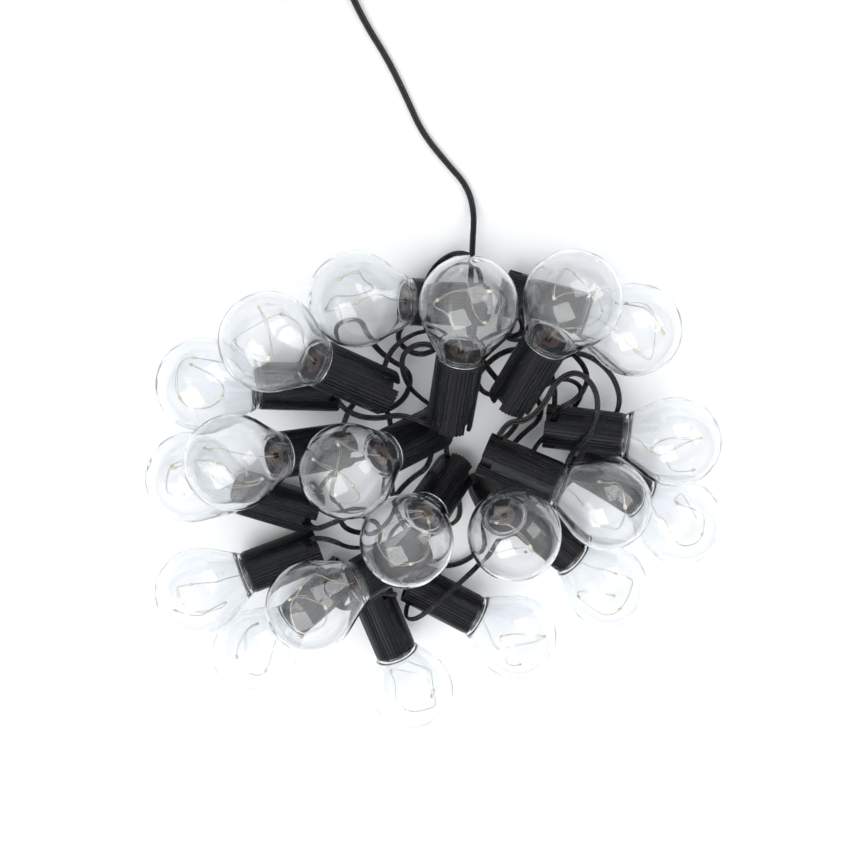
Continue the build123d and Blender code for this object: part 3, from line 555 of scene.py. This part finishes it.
def panel_place(tree):
    """Coordinates square to the solar panel: X and Y in its face, from the bracket's pivot."""
    turn = Matrix.Rotation(math.radians(-PANEL_TILT), 3, "X")
    place = tree.nodes.new("ShaderNodeTexCoord")
    mapping = tree.nodes.new("ShaderNodeMapping")
    mapping.inputs["Rotation"].default_value = (math.radians(-PANEL_TILT), 0, 0)
    mapping.inputs["Location"].default_value = -(turn @ SOLAR_PIVOT)
    parts = tree.nodes.new("ShaderNodeSeparateXYZ")
    tree.links.new(place.outputs["Object"], mapping.inputs["Vector"])
    tree.links.new(mapping.outputs["Vector"], parts.inputs[0])
    return parts


def line_mask(tree, coordinate, pitch, width):
    """1 on lines of that width at that pitch along a coordinate, 0 between them."""
    wrap = tree.nodes.new("ShaderNodeMath")
    wrap.operation = "PINGPONG"
    wrap.inputs[1].default_value = pitch / 2
    near = tree.nodes.new("ShaderNodeMath")
    near.operation = "LESS_THAN"
    near.inputs[1].default_value = width / 2
    tree.links.new(coordinate, wrap.inputs[0])
    tree.links.new(wrap.outputs[0], near.inputs[0])
    return near.outputs[0]


def mix_colour(tree, mask, below, colour):
    """One colour laid over the colour below where the mask is 1."""
    mix = tree.nodes.new("ShaderNodeMix")
    mix.data_type = "RGBA"
    mix.inputs["B"].default_value = (*colour, 1)
    tree.links.new(mask, mix.inputs["Factor"])
    tree.links.new(below, mix.inputs["A"])
    return mix.outputs["Result"]


def solar_laminate():
    """Dark blue cells with fine silver fingers and white gaps, under clear resin."""
    material, tree, shader = new_material("solar_laminate")
    parts = panel_place(tree)
    cells = ramp_between(tree, noise(tree, 160, 6), (0.008, 0.014, 0.05), (0.02, 0.035, 0.12))
    fingers = line_mask(tree, parts.outputs["Y"], pitch=0.0018, width=0.00014)
    gaps = line_mask(tree, parts.outputs["X"], pitch=0.0104, width=0.0009)
    rows = line_mask(tree, parts.outputs["Y"], pitch=0.0540, width=0.0012)
    colour = mix_colour(tree, fingers, cells, (0.35, 0.37, 0.42))
    colour = mix_colour(tree, gaps, colour, (0.62, 0.64, 0.66))
    colour = mix_colour(tree, rows, colour, (0.55, 0.56, 0.6))
    tree.links.new(colour, shader.inputs["Base Color"])
    shader.inputs["Coat Weight"].default_value = 1.0
    shader.inputs["Coat Roughness"].default_value = 0.04
    vary_roughness(tree, shader, 90, 0.2, 0.4)
    add_bump(tree, shader, noise(tree, 120, 2), 0.15, 0.0004)
    return material


def plated_steel():
    """Nickel plate with fine turning marks."""
    material, tree, shader = new_material("plated_steel")
    shader.inputs["Metallic"].default_value = 1.0
    tint(tree, shader, 400, (0.50, 0.50, 0.51), (0.68, 0.67, 0.66))
    vary_roughness(tree, shader, 1500, 0.18, 0.4)
    add_bump(tree, shader, noise(tree, 3000, 3), 0.2, 0.0001)
    return material


def make_materials():
    """Every finish by its slot's name, and the three that have no slot of their own."""
    dark = (0.010, 0.0105, 0.012), (0.022, 0.023, 0.026)
    return {
        "holder_plastic": holder_plastic(),
        "cord_black": cord_black(),
        "clear_globe": clear_globe(),
        "led_wire": led_wire_metal(),
        "led_resin": led_resin(),
        "led_chip": led_chip(),
        "spigot_glue": spigot_glue(),
        "black_rubber": moulded_plastic("black_rubber", *dark, 0.5, 0.7),
        "tie_white": moulded_plastic("tie_white", *dark, 0.35, 0.5),
        "case_plastic": moulded_plastic("case_plastic", *dark, 0.38, 0.55),
        "solar_laminate": solar_laminate(),
        "board_green": moulded_plastic(
            "board_green", (0.015, 0.10, 0.04), (0.03, 0.17, 0.07), 0.3, 0.5
        ),
        "battery_sleeve": moulded_plastic(
            "battery_sleeve", (0.03, 0.18, 0.07), (0.05, 0.26, 0.10), 0.15, 0.3
        ),
        "plated_steel": plated_steel(),
        "button_rubber": moulded_plastic(
            "button_rubber", (0.03, 0.03, 0.033), (0.06, 0.06, 0.065), 0.5, 0.7
        ),
    }


# ---------------------------------------------------------------- mesh tools


def finish_mesh(name, verts, faces, materials, sharp_angle=40.0, face_materials=None):
    """A smooth-shaded mesh with its outward sides worked out and its sharp edges kept."""
    mesh = bpy.data.meshes.new(name)
    mesh.from_pydata(verts, [], faces)
    if face_materials:
        mesh.polygons.foreach_set("material_index", face_materials)
    work = bmesh.new()
    work.from_mesh(mesh)
    bmesh.ops.recalc_face_normals(work, faces=work.faces)
    work.to_mesh(mesh)
    work.free()
    for material in materials:
        mesh.materials.append(material)
    mesh.shade_smooth()
    mesh.set_sharp_from_angle(angle=math.radians(sharp_angle))
    return mesh


def place_piece(name, mesh, matrix=None):
    """Puts a mesh in the scene as a piece of the lights."""
    piece = bpy.data.objects.new(name, mesh)
    if matrix is not None:
        piece.matrix_world = matrix
    bpy.context.scene.collection.objects.link(piece)
    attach(piece, "lights")
    return piece


def smooth_line(points, steps):
    """Points along the smooth line that the given points shape."""
    curve = bpy.data.curves.new("route", "CURVE")
    curve.dimensions = "3D"
    spline = curve.splines.new("NURBS")
    spline.points.add(len(points) - 1)
    for control, point in zip(spline.points, points):
        control.co = (*point, 1)
    spline.order_u = 3
    spline.use_endpoint_u = True
    spline.resolution_u = steps
    route = bpy.data.objects.new("route", curve)
    mesh = bpy.data.meshes.new_from_object(route)
    line = [vertex.co.copy() for vertex in mesh.vertices]
    bpy.data.meshes.remove(mesh)
    bpy.data.objects.remove(route)
    bpy.data.curves.remove(curve)
    return line


def frames_along(line, follow_bend=0.0, lie_flat=None):
    """At each point the width and thickness directions.

    The width turns square to the bends, and level where lie_flat says so of a point.
    """
    last = len(line) - 1
    tangents = [
        (line[min(i + 1, last)] - line[max(i - 1, 0)]).normalized() for i in range(last + 1)
    ]
    width = tangents[0].orthogonal()
    directions = []
    for i, tangent in enumerate(tangents):
        bend = tangents[max(i - 1, 0)].cross(tangents[min(i + 1, last)])
        if bend.dot(width) < 0:
            bend.negate()
        width = width + follow_bend * bend
        if lie_flat and lie_flat(line[i]):
            level = tangent.cross(Vector((0, 0, 1)))
            width += LEVEL_PULL * level * (1 if level.dot(width) >= 0 else -1)
        width = (width - tangent * width.dot(tangent)).normalized()
        directions.append((width, tangent.cross(width)))
    return directions


def swept(line, outline, directions):
    """Vertices and faces of an outline carried along a line, closed at both ends."""
    count = len(outline)
    verts = []
    for point, (width, thickness) in zip(line, directions):
        verts += [point + width * u + thickness * v for u, v in outline]
    faces = []
    for ring in range(len(line) - 1):
        for i in range(count):
            here, beside = ring * count + i, ring * count + (i + 1) % count
            faces.append((here, beside, beside + count, here + count))
    faces.append(tuple(range(count)))
    faces.append(tuple(range(len(verts) - count, len(verts))))
    return verts, faces


def circle_outline(radius, sides):
    """The outline of a round wire."""
    turns = [math.tau * i / sides for i in range(sides)]
    return [(radius * math.cos(a), radius * math.sin(a)) for a in turns]


def twin_cord_outline():
    """The outline of a flat twin cord: two round cores with a groove between them."""
    core = CORD_THICKNESS / 2
    offset = CORD_WIDTH / 2 - core
    groove = core * 0.5
    core_angles = (-132, -100, -68, -34, 0, 34, 68, 100, 132)
    right = [
        (offset + core * math.cos(math.radians(a)), core * math.sin(math.radians(a)))
        for a in core_angles
    ]
    left = [(-u, -v) for u, v in right]
    return [*right, (0, groove), *left, (0, -groove)]


# ---------------------------------------------------------------- cords


def outside_coil(point):
    """Where a flat cord lies on its flat side: everywhere but in the coil."""
    level = point - pile_point(COIL_CENTRE)
    return math.hypot(level.x, level.y) > COIL_OUTER_RADIUS + CORD_WIDTH


def make_flat_cord(name, points, steps, nodes):
    """One flat twin cord along its points, put in place of the nodes, which are hidden."""
    line = smooth_line(points, steps)
    verts, faces = swept(line, twin_cord_outline(), frames_along(line, BEND_PULL, outside_coil))
    mesh = finish_mesh(name, verts, faces, [materials["cord_black"]], sharp_angle=70)
    piece = place_piece(name, mesh)
    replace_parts(piece, *nodes)


def make_string_cords():
    """The cord from each lamp to the next."""
    for number, (first_side, points, last_side) in STRING_CORDS.items():
        start, out = exit_points(number, first_side)
        finish, back = exit_points(number + 1, last_side)
        route = [start, out, *[pile_point(point) for point in points], back, finish]
        nodes = [f"string_cord_{number:02d}"]
        make_flat_cord(f"cord_{number:02d}", route, STRING_CORD_STEPS, nodes)


def coil_points():
    """The lead's put-away turns, from the outside in and back, one row above another."""
    chance = random.Random(4)
    widen = 1 / math.cos(math.pi / COIL_POINTS_PER_TURN)
    points = []
    for step in range(1, round(COIL_TURNS * COIL_POINTS_PER_TURN)):
        turn = step / COIL_POINTS_PER_TURN
        row, along = divmod(turn, COIL_COLUMNS)
        inward = along if row % 2 == 0 else COIL_COLUMNS - 1 - along
        inward = min(max(inward, 0), COIL_COLUMNS - 1)
        height = COIL_FIRST_ROW + COIL_ROW_STEP * min(row, COIL_ROWS - 1)
        radius = COIL_OUTER_RADIUS - COIL_COLUMN_STEP * inward
        radius += chance.uniform(-1, 1) * COIL_UNEVENNESS
        angle = math.tau * turn
        around = Vector((math.cos(angle), math.sin(angle), 0)) * radius * widen
        points.append(pile_point(COIL_CENTRE + around + Vector((0, 0, height))))
    return points


def gland_tip():
    """Where the lead's tail goes into the solar unit, and the direction that it goes in."""
    tilt = math.radians(PANEL_TILT)
    up_face = Vector((0, math.cos(tilt), math.sin(tilt)))
    normal = Vector((0, -math.sin(tilt), math.cos(tilt)))
    tip = SOLAR_PIVOT + Vector((GLAND_TIP_X, 0, 0)) + up_face * GLAND_TIP_Y
    return tip + normal * GLAND_TIP_ABOVE_PIVOT, up_face


def make_lead():
    """The lead: from the first lamp over the table, round its coil, and into the solar unit."""
    start, out = exit_points(1, LEAD_SIDE)
    tip, inward = gland_tip()
    route = [start, out, *[pile_point(point) for point in LEAD_POINTS], *coil_points()]
    route += [*[pile_point(point) for point in TAIL_POINTS], tip - inward * STRAIGHT_OUT, tip]
    nodes = ["lead_cord", "lead_coil", "lead_tail"]
    make_flat_cord("lead", route, LEAD_STEPS, nodes)


# ---------------------------------------------------------------- lamps


def lathe(profile, segments):
    """Vertices and faces of a closed profile of (radius, height) turned round the Z axis."""
    verts, rings = [], []
    for radius, height in profile:
        if radius < 1e-6:
            rings.append([len(verts)] * segments)
            verts.append((0, 0, height))
            continue
        rings.append([len(verts) + i for i in range(segments)])
        for i in range(segments):
            angle = math.tau * i / segments
            verts.append((radius * math.cos(angle), radius * math.sin(angle), height))
    faces = []
    for lower, upper in zip(rings, rings[1:]):
        for i in range(segments):
            j = (i + 1) % segments
            face = [lower[i], lower[j], upper[j], upper[i]]
            faces.append(tuple(dict.fromkeys(face)))
    return verts, faces


def between(start, end, steps):
    """The points that divide a straight run of a profile, without its two ends."""
    return [tuple(Vector(start).lerp(Vector(end), i / steps)) for i in range(1, steps)]


def outer_ball():
    """The ball's outside from its tip to its cone, with the ring round the tip."""
    taper_angle = math.acos(-TAPER_START / GLOBE_RADIUS)
    profile = []
    for i in range(BALL_STEPS + 1):
        angle = taper_angle * (i / BALL_STEPS) ** 1.15  # closer together at the tip
        from_ring = (angle * GLOBE_RADIUS - TIP_MARK_RADIUS) / TIP_MARK_WIDTH
        radius = GLOBE_RADIUS + TIP_MARK_HEIGHT * math.exp(-(from_ring**2))
        profile.append((radius * math.sin(angle), -radius * math.cos(angle)))
    return profile


def inner_ball():
    """The ball's inside from its cone back to its tip."""
    radius = GLOBE_RADIUS - GLOBE_WALL
    taper_angle = math.acos(-(TAPER_START - GLOBE_WALL / 2) / radius)
    angles = [taper_angle * i / BALL_STEPS for i in range(BALL_STEPS, -1, -1)]
    return [(radius * math.sin(angle), -radius * math.cos(angle)) for angle in angles]


def globe_profile():
    """The clear globe's wall: outside from its tip to its mouth, then inside back to the tip."""
    soft = NECK_ROUNDING
    outside, inside = outer_ball(), inner_ball()
    neck = [
        (NECK_RADIUS + soft, NECK_START - soft),
        (NECK_RADIUS, NECK_START + soft),
        (NECK_RADIUS, MOUTH - soft),
        (NECK_RADIUS - soft, MOUTH),
        (NECK_INNER_RADIUS + soft, MOUTH),
        (NECK_INNER_RADIUS, MOUTH - soft),
        (NECK_INNER_RADIUS, COLLAR_START + 2 * soft),
        (NECK_INNER_RADIUS + 2 * soft, COLLAR_START),
        (COLLAR_STEP_RADIUS - 3 * soft, COLLAR_START),
        (COLLAR_STEP_RADIUS, COLLAR_START - 2 * soft),
    ]
    outer_cone = between(outside[-1], (NECK_RADIUS, NECK_START), CONE_STEPS)
    inner_cone = between(neck[-1], inside[0], CONE_STEPS)
    return [*outside, *outer_cone, *neck, *inner_cone, *inside]


def make_globes():
    """One clear globe on each lamp."""
    verts, faces = lathe(globe_profile(), GLOBE_SEGMENTS)
    mesh = finish_mesh("globe", verts, faces, [materials["clear_globe"]], sharp_angle=50)
    for number in LAMPS:
        globe = place_piece(f"globe_{number:02d}", mesh, lamp_matrix(number))
        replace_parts(globe, "globes")


def holder_columns():
    """Round the lampholder: each column's angle, how deep in a groove, and whether in a notch."""
    notch_edge = math.degrees(math.asin(SLOT_WIDTH / 2 / HOLDER_RADIUS))
    columns = []
    for group in range(HOLDER_GROUPS):
        notch = 360 / HOLDER_GROUPS * group
        columns += [(notch + share * notch_edge, 0, True) for share in (-1, -0.5, 0, 0.5, 1)]
        first = notch + 180 / HOLDER_GROUPS - GROOVE_PITCH * (GROOVES_PER_GROUP - 1) / 2
        for groove in range(GROOVES_PER_GROUP):
            middle = first + GROOVE_PITCH * groove
            columns += [(middle + offset, depth, False) for offset, depth in GROOVE_SHAPE]
    return columns


def holder_rows():
    """The lampholder's rings: radius, place along the axis, share of the grooves' depth.

    They go from the wire's hole over the spigot and the barrel to the bore's floor.
    """
    return [
        (WIRE_HOLE_RADIUS, SPIGOT_START + WIRE_HOLE_BEVEL, 0),
        (WIRE_HOLE_RADIUS + WIRE_HOLE_BEVEL, SPIGOT_START, 0),
        (SPIGOT_RADIUS * 0.6, SPIGOT_START, 0),
        (SPIGOT_RADIUS - FRONT_ROUNDING, SPIGOT_START, 0),
        (SPIGOT_RADIUS, SPIGOT_START + FRONT_ROUNDING, 0),
        (SPIGOT_RADIUS, HOLDER_FRONT, 0),
        (HOLDER_RADIUS - FRONT_ROUNDING, HOLDER_FRONT, 0),
        (HOLDER_RADIUS, HOLDER_FRONT + FRONT_ROUNDING, 0),
        (HOLDER_RADIUS, GROOVES_START, 0),
        (HOLDER_RADIUS, GROOVES_START + GROOVE_RUN_IN, 1),
        (HOLDER_RADIUS, SLOT_FLOOR, 1),
        (HOLDER_RADIUS, HOLDER_BACK - BACK_ROUNDING, 1),
        (HOLDER_RADIUS - BACK_ROUNDING, HOLDER_BACK, 1),
        (BORE_RADIUS + BACK_ROUNDING, HOLDER_BACK, 0),
        (BORE_RADIUS, HOLDER_BACK - BACK_ROUNDING, 0),
        (BORE_RADIUS, SLOT_FLOOR, 0),
        (BORE_RADIUS, BORE_FLOOR, 0),
        (WIRE_HOLE_RADIUS, BORE_FLOOR, 0),
    ]


GLUE_ROWS = (0, 1)
NOTCH_ROWS = (10, 15)  # the two rings level with the notches' floor, outside and in the bore


def notch_faces(columns):
    """The floors and the side walls of the notches that the cords go through."""
    count = len(columns)
    outer, inner = NOTCH_ROWS
    faces = []
    for i in range(count):
        j = (i + 1) % count
        in_notch, next_in, last_in = columns[i][2], columns[j][2], columns[i - 1][2]
        if in_notch and next_in:
            low, high = outer * count, inner * count
            faces.append((low + i, low + j, high + j, high + i))
        if in_notch and not (next_in and last_in):
            faces.append(tuple(row * count + i for row in range(outer, inner + 1)))
    return faces


def lampholder_mesh():
    """The lampholder: spigot, ribbed barrel, open back with four cord notches."""
    columns, rows = holder_columns(), holder_rows()
    count = len(columns)
    verts = []
    for radius, place, share in rows:
        for angle, depth, _ in columns:
            turn = math.radians(angle)
            here = radius - GROOVE_DEPTH * depth * share
            verts.append((here * math.cos(turn), here * math.sin(turn), place))
    faces, face_materials = [], []
    for row in range(len(rows)):
        above = (row + 1) % len(rows)
        for i in range(count):
            j = (i + 1) % count
            if columns[i][2] and columns[j][2] and row in range(*NOTCH_ROWS):
                continue
            faces.append((row * count + i, row * count + j, above * count + j, above * count + i))
            face_materials.append(1 if row in GLUE_ROWS else 0)
    notches = notch_faces(columns)
    faces += notches
    face_materials += [0] * len(notches)
    finishes = [materials["holder_plastic"], materials["spigot_glue"]]
    return finish_mesh("lampholder", verts, faces, finishes, 30, face_materials)


def make_lampholders():
    """One lampholder on each lamp, its notches turned towards its cords."""
    mesh = lampholder_mesh()
    for number, lamp in LAMPS.items():
        matrix = lamp_matrix(number, roll=lamp[5])
        holder = place_piece(f"holder_{number:02d}", mesh, matrix)
        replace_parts(holder, f"lampholder_{number:02d}")


def led_loop(chance):
    """Points of one lamp's LED wire: out of the spigot and round the inside of the globe."""
    first = chance.uniform(0, math.tau)
    way = chance.choice((-1, 1))
    points = [Vector((0, 0, LED_WIRE_START)), Vector((0, 0, LED_WIRE_OUT))]
    lean = chance.uniform(0.002, 0.005)
    points.append(Vector((lean * math.cos(first), lean * math.sin(first), LED_WIRE_LEAN)))
    for polar, turn in zip(LED_LOOP_POLARS, LED_LOOP_TURNS):
        polar = math.radians(polar + chance.uniform(-LED_POLAR_SPREAD, LED_POLAR_SPREAD))
        around = first + way * math.radians(turn + chance.uniform(-LED_TURN_SPREAD, LED_TURN_SPREAD))
        reach = chance.uniform(LED_LEAST_REACH, LED_MOST_REACH)
        outward = Vector((math.cos(around), math.sin(around), 0))
        points.append(reach * (outward * math.sin(polar) + Vector((0, 0, math.cos(polar)))))
    return points


def led_strands(line, directions):
    """The wire's two strands, which part and close along the line: vertices and faces of each."""
    outline = circle_outline(LED_STRAND_RADIUS, LED_STRAND_SIDES)
    waves = [math.sin(i * 0.07) ** 2 for i in range(len(line))]
    spread = [LED_STRANDS_LEAST_APART + LED_STRANDS_PART * wave for wave in waves]
    strands = []
    for side in (-1, 1):
        offset = [p + w * (side * s) for p, (w, _), s in zip(line, directions, spread)]
        strands.append(swept(offset, outline, directions))
    return strands


def led_resin_drop(turn, centre):
    """An egg of resin, its length along the wire: vertices and faces."""
    profile = []
    for i in range(LED_DROP_RINGS + 1):
        angle = math.pi * i / LED_DROP_RINGS
        radius = LED_DROP_RADIUS * math.sin(angle)
        profile.append((radius, -LED_DROP_HALF_LENGTH * math.cos(angle)))
    verts, faces = lathe(profile, LED_DROP_SIDES)
    return [centre + turn @ Vector(vert) for vert in verts], faces


def led_chip_block(turn, centre):
    """A chip's block, a little to one side of its drop's middle: vertices and faces."""
    across = turn.col[1]
    middle = centre + across * LED_CHIP_OFFSET
    verts = []
    for x in (-1, 1):
        for y in (-1, 1):
            for z in (-1, 1):
                verts.append(middle + turn @ (Vector((x, y, z)) * LED_CHIP_HALF))
    faces = [(0, 1, 3, 2), (4, 6, 7, 5), (0, 4, 5, 1), (2, 3, 7, 6), (0, 2, 6, 4), (1, 5, 7, 3)]
    return verts, faces


def led_wire_parts(chance):
    """One lamp's LED wire as (vertices, faces) and the number of the finish, part by part."""
    line = smooth_line(led_loop(chance), LED_WIRE_STEPS)
    directions = frames_along(line)
    parts = [(strand, 0) for strand in led_strands(line, directions)]
    for share in LED_PLACES:
        at = min(round(share * (len(line) - 1)), len(line) - 2)
        along = (line[at + 1] - line[at]).normalized()
        side = directions[at][0]
        turn = Matrix((side, along.cross(side), along)).transposed()
        parts.append((led_resin_drop(turn, line[at]), 1))
        parts.append((led_chip_block(turn, line[at]), 2))
    return parts


def make_led_wires():
    """In each globe, its own pair of fine wires with four LED drops along it."""
    finishes = [materials["led_wire"], materials["led_resin"], materials["led_chip"]]
    for number in LAMPS:
        verts, faces, face_materials = [], [], []
        for (part_verts, part_faces), finish in led_wire_parts(random.Random(100 + number)):
            faces += [tuple(len(verts) + i for i in face) for face in part_faces]
            face_materials += [finish] * len(part_faces)
            verts += part_verts
        name = f"led_wire_{number:02d}"
        mesh = finish_mesh(name, verts, faces, finishes, 60, face_materials)
        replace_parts(place_piece(name, mesh, lamp_matrix(number)), "led_strings")


# ---------------------------------------------------------------- CAD pieces that stay

KEPT_NODES = {  # node: its finish, and the rounding of its edges
    "panel_frame": ("case_plastic", 0.0006),
    "solar_panel": ("solar_laminate", 0.0002),
    "rear_case": ("case_plastic", 0.0005),
    "case_gasket": ("black_rubber", 0.0001),
    "circuit_board": ("board_green", 0.0001),
    "battery_cell": ("battery_sleeve", 0.0001),
    "battery_contacts": ("plated_steel", 0.0),
    "battery_door": ("case_plastic", 0.0004),
    "case_screws": ("plated_steel", 0.0002),
    "power_button": ("button_rubber", 0.0004),
    "mode_button": ("button_rubber", 0.0004),
    "cable_gland": ("black_rubber", 0.0003),
    "stand_bracket": ("case_plastic", 0.0005),
    "pivot_bolt": ("plated_steel", 0.0003),
    "coil_tie": ("tie_white", 0.0001),
    "cord_grommets": ("black_rubber", 0.0004),
}


def finish_kept_nodes():
    """The CAD pieces that stay on show get their finish and soft edges."""
    for name, (finish, rounding) in KEPT_NODES.items():
        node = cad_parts[name]
        node.data.materials.clear()
        node.data.materials.append(materials[finish])
        if rounding:
            bevel = node.modifiers.new("soft_edges", "BEVEL")
            bevel.width = rounding
            bevel.segments = 2
            bevel.limit_method = "ANGLE"
            bevel.angle_limit = math.radians(35)


# ---------------------------------------------------------------- the scene

make_camera()
materials = make_materials()
make_string_cords()
make_lead()
make_lampholders()
make_globes()
make_led_wires()
finish_kept_nodes()
make_floor()
make_world()
make_soft_light("key_light", place=(-0.5, -0.25, 0.95), size=0.8, power=5)
make_soft_light("fill_light", place=(0.8, 0.5, 0.8), size=0.6, power=2)

scene = bpy.context.scene
scene.view_settings.view_transform = "Standard"
